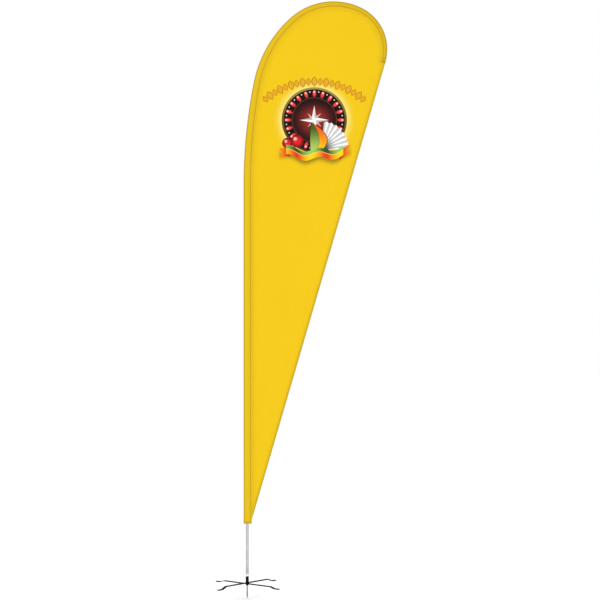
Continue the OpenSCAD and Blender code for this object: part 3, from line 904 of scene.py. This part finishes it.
class Print:
    """The print's drawing board: the panel's finish, and the place of a point on the medallion."""

    def __init__(self, finish, cut, colour):
        self.finish = finish
        u, v, _ = finish.parts(cut)
        self.across, self.up = u - medallion_centre[0], v - medallion_centre[1]
        self.radius = (self.across * self.across + self.up * self.up) ** 0.5
        self.angle = finish.maths("ARCTAN2", self.across, self.up)
        self.colour = colour

    def lay(self, colour, share):
        """Prints a colour over what is there."""
        self.colour = self.finish.mix(self.colour, colour, share)

    def blend(self, below, above, share):
        """A colour between two, for a later lay."""
        return self.finish.mix(below, above, share)

    def gap_from(self, across, up):
        """Distance from a point of the print."""
        aside, rise = self.across - across, self.up - up
        return (aside * aside + rise * rise) ** 0.5

    def halo(self):
        """A pale glow round the medallion."""
        glow = self.radius.under(disc + 0.0175, 0.095)
        self.lay(ink(250, 238, 150), 0.85 * glow ** 1.4)

    def garland(self):
        """Leaves, large and small by turns, along a wide arc over the medallion."""
        arc_centre, arc_radius, pitch = -0.2563, 0.514, math.radians(4.42)
        half_width, half_length, leaves_a_side = 0.0205, 0.034, 9
        lifted = self.up - arc_centre
        turn = self.finish.maths("ARCTAN2", self.across, lifted)
        index = round(turn / pitch)
        along = (turn - index * pitch) * arc_radius
        out = (self.across * self.across + lifted * lifted) ** 0.5 - arc_radius
        size = 1 - 0.22 * (abs(index) % 2)
        shape = abs(along) / (half_width * size) + (out / (half_length * size)) ** 2
        counted = abs(index).under(leaves_a_side + 0.5, 0.2)
        vein = abs(along).under(0.0012, 0.0016) * abs(out).under(0.018, 0.004)
        dark = shape.over(0.66, 0.16).most(0.7 * vein)
        leaf = self.blend(ink(228, 168, 38), ink(182, 124, 26), dark)
        self.lay(leaf, shape.under(1, 0.12) * counted)

    def medallion(self):
        """The olive-gold rim, the black ring with its red stones, and the dark red field."""
        rim, field_radius = 0.014, 0.148
        stones, stone_ring, bead_ring, bead_radius = 20, 0.178, 0.19, 0.0042
        crest = (0.5 + 0.5 * self.up / disc) ** 2
        gold = self.blend(ink(74, 58, 20), ink(156, 142, 66), crest)
        self.lay(gold, self.radius.under(disc, blur))
        self.lay(ink(18, 14, 13), self.radius.under(disc - rim, blur))
        pitch = 2 * math.pi / stones
        along = (self.angle - round(self.angle / pitch) * pitch) * stone_ring
        out = self.radius - stone_ring
        stone = (along / 0.0135) ** 2 + (out / 0.0255) ** 2
        red = self.blend(ink(236, 70, 72), ink(140, 14, 22), stone.over(0.5, 0.9))
        self.lay(red, stone.under(1, 0.2))
        glint = (along / 0.006) ** 2 + ((out - 0.011) / 0.007) ** 2
        self.lay(ink(255, 214, 206), 0.85 * glint.under(1, 0.7))
        between = (self.angle / pitch + 0.5) % 1 - 0.5
        aside = (abs(between) - 0.5) * pitch * bead_ring
        bead = aside ** 2 + (self.radius - bead_ring) ** 2
        self.lay(ink(232, 226, 206), (bead ** 0.5).under(bead_radius, blur))
        self.lay(ink(112, 78, 40), self.radius.under(field_radius + 0.0025, blur))
        field = self.blend(ink(160, 52, 44), ink(44, 16, 17), self.radius.over(0.07, 0.15))
        field = self.blend(field, ink(28, 10, 12), 0.6 * self.up.over(0.09, 0.12))
        self.lay(field, self.radius.under(field_radius, blur))

    def star(self, turn, long, waist, light, dark):
        """A four-pointed star, each point with a light facet and a dark one."""
        quarter = math.pi / 2
        turned = self.angle + turn
        folded = turned - round(turned / quarter) * quarter
        along, aside = self.radius * folded.cos(), self.radius * folded.sin()
        inner = waist / math.sqrt(2)
        shape = abs(aside) * (long - inner) + along * inner
        facets = self.blend(light, dark, aside.over(0, blur))
        self.lay(facets, shape.under(long * inner, blur * inner))

    def fan(self):
        """A pleated white fan, opened from the medallion's lower middle to its right."""
        pivot, long, scallop = (0.046, -0.192), 0.188, 0.02
        first, last, pleats = -4, 84, 8  # degrees up from the right, and the pleats between
        aside, rise = self.across - pivot[0], self.up - pivot[1]
        reach = (aside * aside + rise * rise) ** 0.5
        turn = self.finish.maths("ARCTAN2", rise, aside)
        pleat = math.radians((last - first) / pleats)
        phase = ((turn - math.radians(first)) / pleat) % 1
        edge = long - scallop * abs(phase - 0.5)
        open_from = turn.over(math.radians(first), 0.02) * turn.under(math.radians(last), 0.02)
        shape = (edge - reach).over(0, blur) * open_from
        silk = self.blend(ink(252, 252, 250), ink(196, 196, 198), phase.over(0.5, 0.5))
        silk = self.blend(silk, ink(60, 56, 56), reach.under(0.07, 0.09))
        rib = (0.5 - abs(phase - 0.5)).under(0.06, 0.06)
        self.lay(self.blend(silk, ink(120, 118, 120), 0.7 * rib), shape)

    def berry(self, across, up, size):
        """A round red berry with a bright spot at its upper left."""
        gap = self.gap_from(across, up)
        skin = self.blend(ink(214, 34, 40), ink(92, 8, 14), gap.over(size * 0.7, size * 0.8))
        self.lay(skin, gap.under(size, blur))
        spot = self.gap_from(across - size * 0.32, up + size * 0.34)
        self.lay(ink(255, 190, 178), 0.9 * spot.under(size * 0.24, size * 0.3))

    def leaf(self):
        """An upright leaf, green on its left side and gold on its right."""
        aside, rise = self.across - 0.013, self.up + 0.135
        bent = aside + 0.35 * rise * rise / 0.1 - 0.016
        shape = abs(bent) / 0.056 + (rise / 0.118) ** 2
        shade = rise.over(0, 0.2)
        green = self.blend(ink(176, 208, 96), ink(58, 92, 34), shade)
        gold = self.blend(ink(255, 196, 24), ink(228, 84, 24), shade)
        side = self.blend(green, gold, bent.over(0.004, blur))
        side = self.blend(side, ink(40, 50, 22), 0.5 * abs(bent - 0.004).under(0.002, blur))
        self.lay(ink(66, 34, 16), shape.under(1.08, 0.05))
        self.lay(side, shape.under(1, 0.05))

    def over_ribbon(self, up):
        """The height over the waved ribbon's middle line, at a height of the print."""
        wave = 0.014 * self.across.wave(ribbon_wave, 0.5)
        return up + 0.232 - wave - 0.62 * self.across * self.across

    def ribbon(self):
        """A waved ribbon, green above and orange to gold below, with notched tails."""
        half_height, half_length = 0.031, 0.192
        tail_start, tail_end, notch_depth = 0.165, 0.243, 0.022
        beyond = abs(self.across - 0.003)
        shadow = abs(self.over_ribbon(self.up + 0.03)).under(0.024, 0.05)
        self.lay(ink(128, 106, 20), 0.85 * (shadow * beyond.under(0.235, 0.05)))
        low = self.over_ribbon(self.up + 0.016)
        notch = tail_end - notch_depth * (1 - abs(low) / half_height)
        tails = abs(low).under(half_height, blur) * (notch - beyond).over(0, blur)
        dusk = self.blend(ink(176, 52, 18), ink(240, 128, 26), beyond.over(0.2, 0.06))
        self.lay(dusk, tails * beyond.over(tail_start, blur))
        height = self.over_ribbon(self.up)
        shine = 0.5 + 0.5 * self.across.wave(ribbon_wave, 2.2)
        green = self.blend(ink(52, 78, 30), ink(158, 200, 92), shine)
        flame = self.blend(ink(226, 56, 26), ink(255, 206, 16), shine)
        band = self.blend(flame, green, height.over(0.004, blur))
        within = beyond.under(half_length, blur)
        self.lay(band, abs(height).under(half_height, blur) * within)
        piping = 0.8 * abs(height - 0.004).under(0.0016, 0.002)
        self.lay(ink(255, 232, 120), piping * within)


printed, dye_and_shade, cut = cloth_finish("printed_cloth", ink(234, 194, 22), ink(226, 186, 20), knit_pitch)
# Painted shade next to the sleeve: the panel darkens within a few centimetres of the seam.
shade_near_sleeve = printed.attribute("from_seam").under(0.024, 0.05)
# Painted shade along the free edge: the panel darkens within a few centimetres of it.
shade_near_hem = printed.attribute("from_edge").under(0.018, 0.045)
dye_and_shade = printed.mix(dye_and_shade, ink(221, 183, 24), 0.9 * shade_near_sleeve)
board = Print(printed, cut, printed.mix(dye_and_shade, ink(219, 181, 22), 0.8 * shade_near_hem))
board.halo()
board.garland()
board.medallion()
board.star(math.pi / 4, 0.066, 0.016, ink(226, 196, 176), ink(166, 110, 96))
board.star(0.0, 0.098, 0.022, ink(255, 255, 253), ink(186, 182, 182))
board.lay(ink(255, 250, 240), board.radius.under(0.012, 0.012))
board.fan()
board.leaf()
board.berry(-0.181, -0.156, 0.036)
board.berry(-0.115, -0.142, 0.044)
board.ribbon()
printed.set("Base Color", board.colour)
printed.cover(panel)
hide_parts("flag_panel")
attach(panel, "flag_head")

# ---- Hem along the free edge ----
# The panel's own cloth, turned over 12 mm and sewn down with one row, from the tip down to
# the square corner at the foot, where the sleeve's plies close over it.

edge_points = evenly(tip_outer, heel, 0.012) + evenly(heel, (heel[0], flag_foot), 0.006)
edge_points.append((heel[0], flag_foot + 0.0005))
hem_profile = [(1, -1), (0.35, -1), (0.02, -0.9), (-0.04, 0), (0.02, 0.9), (0.35, 1), (1, 1)]
hem_face = 0.00065  # from the panel's middle to the middle of each ply of the hem
hem_ply = 0.0003


def hem_depth_at(point):
    """The hem's depth at a point of the free edge: less where the panel narrows to its foot."""
    return min(hem_turn, (panel_width(point[1]) - 0.0008) / 0.96)


def into_panel(point):
    """The direction from a point of the free edge into the panel."""
    return edge_side if point[1] > heel[1] else np.array((-1.0, 0.0))


rows, cuts, from_fold = [], [], []
run = 0.0
for k, point in enumerate(edge_points):
    if k:
        run += math.dist(point, edge_points[k - 1])
    deep, side = hem_depth_at(point), into_panel(point)
    spots = np.array([np.array(point) + side * turn * deep for turn, _ in hem_profile])
    rows.append(
        [
            (x, lift + hem_face * face, z)
            for (x, z), lift, (_, face) in zip(spots, folds(spots), hem_profile)
        ]
    )
    cuts.append([(math.copysign(turn * deep, face), run) for turn, face in hem_profile])
    from_fold += [abs(turn) * deep for turn, _ in hem_profile]
edge_hem = sheet_of_rows("free_edge_hem", rows, cuts)
note(edge_hem, "from_fold", from_fold)
thicken(edge_hem, hem_ply)
# Painted shade along the free edge: the hem's yellow is a little darker than the panel's, and
# darker still towards its fold.
hem_cloth, dye_and_shade, _ = cloth_finish("hem_cloth", ink(222, 184, 22), ink(212, 176, 20), knit_pitch)
from_fold = hem_cloth.attribute("from_fold")
dye_and_shade = hem_cloth.mix(dye_and_shade, ink(182, 150, 24), 0.9 * from_fold.under(0.0055, 0.011))
hem_cloth.set("Base Color", dye_and_shade)
hem_cloth.cover(edge_hem)
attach(edge_hem, "flag_head")

# ---- Stitching ----
# Lock stitches in polyester thread, one to every 4 mm: two rows through the sleeve's plies and
# the panel, one along the free edge's hem, and two round each tape at the sleeve's ends.

stitch_pitch = 0.004
stitch_length = 0.0034
thread_radius = 0.00032
on_sleeve = 0.0004  # from the sleeve's cross-section out to the thread's middle
on_ply = 0.0003  # from a ply of the flange out to it
on_hem = 0.0009  # from the panel's middle out to it
seam_rows = (0.0028, 0.0085)  # from the sleeve's seam to each row on the plies
seam_row_end = mast_length - 0.028  # where the pocket covers them
mouth_rows = (0.003, 0.013)  # from the flag's foot
pocket_rows = (-0.0235, -0.016)  # from the mast's end
hem_row = 0.002  # from the hem's inner edge


def stitches(name, dashes):
    """One piece of many stitches, from each one's middle, direction and outward direction."""
    points, faces = [], []
    for middle, run, out in dashes:
        first = len(points)
        side = np.cross(run, out)
        points.append(middle - run * stitch_length / 2)
        for share in (-0.3, 0.3):
            for a, b in ((1, 0), (0, 1), (-1, 0), (0, -1)):
                spread = (side * a + out * b) * thread_radius
                points.append(middle + run * share * stitch_length + spread)
        points.append(middle + run * stitch_length / 2)
        for k in range(4):
            n = (k + 1) % 4
            faces.append((first, first + 1 + n, first + 1 + k))
            faces.append((first + 1 + k, first + 1 + n, first + 5 + n, first + 5 + k))
            faces.append((first + 9, first + 5 + k, first + 5 + n))
    piece = smooth_piece(name, [tuple(p) for p in points], faces)
    only(piece)
    bpy.ops.object.mode_set(mode="EDIT")
    bpy.ops.mesh.select_all(action="SELECT")
    bpy.ops.mesh.normals_make_consistent(inside=False)
    bpy.ops.object.mode_set(mode="OBJECT")
    return piece


def evenly_spaced(line):
    """Stitch middles and directions at an even pitch along a line of points."""
    line = np.array(line)
    reach = np.concatenate(([0.0], np.cumsum(np.linalg.norm(np.diff(line, axis=0), axis=1))))
    for k in range(int(reach[-1] / stitch_pitch)):
        here = (k + 0.5) * stitch_pitch
        middle, ahead = (
            np.array([np.interp(at, reach, axis) for axis in line.T]) for at in (here, here + 0.001)
        )
        yield middle, (ahead - middle) / np.linalg.norm(ahead - middle)


def both_faces(line):
    """Stitches along a line of (x, y, z, lift) points, at the lift from it on both of its faces."""
    for middle, run in evenly_spaced(line):
        for face in (-1.0, 1.0):
            out = np.array((0.0, face, 0.0))
            run3 = run[:3] / np.linalg.norm(run[:3])
            yield middle[:3] + out * middle[3], run3, out


def round_section(s, loop):
    """Stitches round a cross-section of the sleeve at a distance along the mast."""
    x, z, heading = mast(s)
    axes = np.array(((math.sin(heading), 0, -math.cos(heading)), (0, 1, 0)))
    for middle, run in evenly_spaced(loop):
        out = np.array((-run[1], run[0]))
        yield np.array((x, 0, z)) + (middle + out * on_sleeve) @ axes, run @ axes, out @ axes


dashes = []
for inset in seam_rows:
    line = []
    for s in np.linspace(flag_foot + tape_depth, seam_row_end, 1200):
        if flange_reach(s) > inset + 0.0012:
            x, z = beside_mast(s, along_bend(s, sleeve_half_width) + inset)
            line.append((x, 0.0, z, flange_gap(s) + on_ply))
    dashes += both_faces(line)
for rise in mouth_rows:
    dashes += round_section(flag_foot + rise, tape_loop(flag_foot + rise, tape_out)[1:-1])
for on in pocket_rows:
    dashes += round_section(mast_length + on, sleeve_loop(mast_length + on, tape_out, flange))
seam_stitches = stitches("sleeve_seam_stitches", dashes)

line = []
for point in edge_points:
    deep = hem_depth_at(point)
    if panel_width(point[1]) > flange + hem_turn and point[1] < tip_outer[1] - 0.006:
        spot = np.array(point) + into_panel(point) * (deep - hem_row)
        line.append((spot[0], folds(spot[None, :])[0], spot[1], on_hem))
hem_stitches = stitches("free_edge_stitches", both_faces(line))

thread = Finish("polyester_thread", 0.5)
twist = thread.noise(thread.place(), 1800, 2)
thread.set("Base Color", thread.mix(ink(176, 142, 16), ink(208, 172, 28), twist))
thread.relief(twist, 0.0001)
thread.cover(seam_stitches, hem_stitches)
for piece in (seam_stitches, hem_stitches):
    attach(piece, "flag_head")

low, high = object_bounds()
{"cad": [list(cad_low), list(cad_high)], "visual": [list(low), list(high)]}
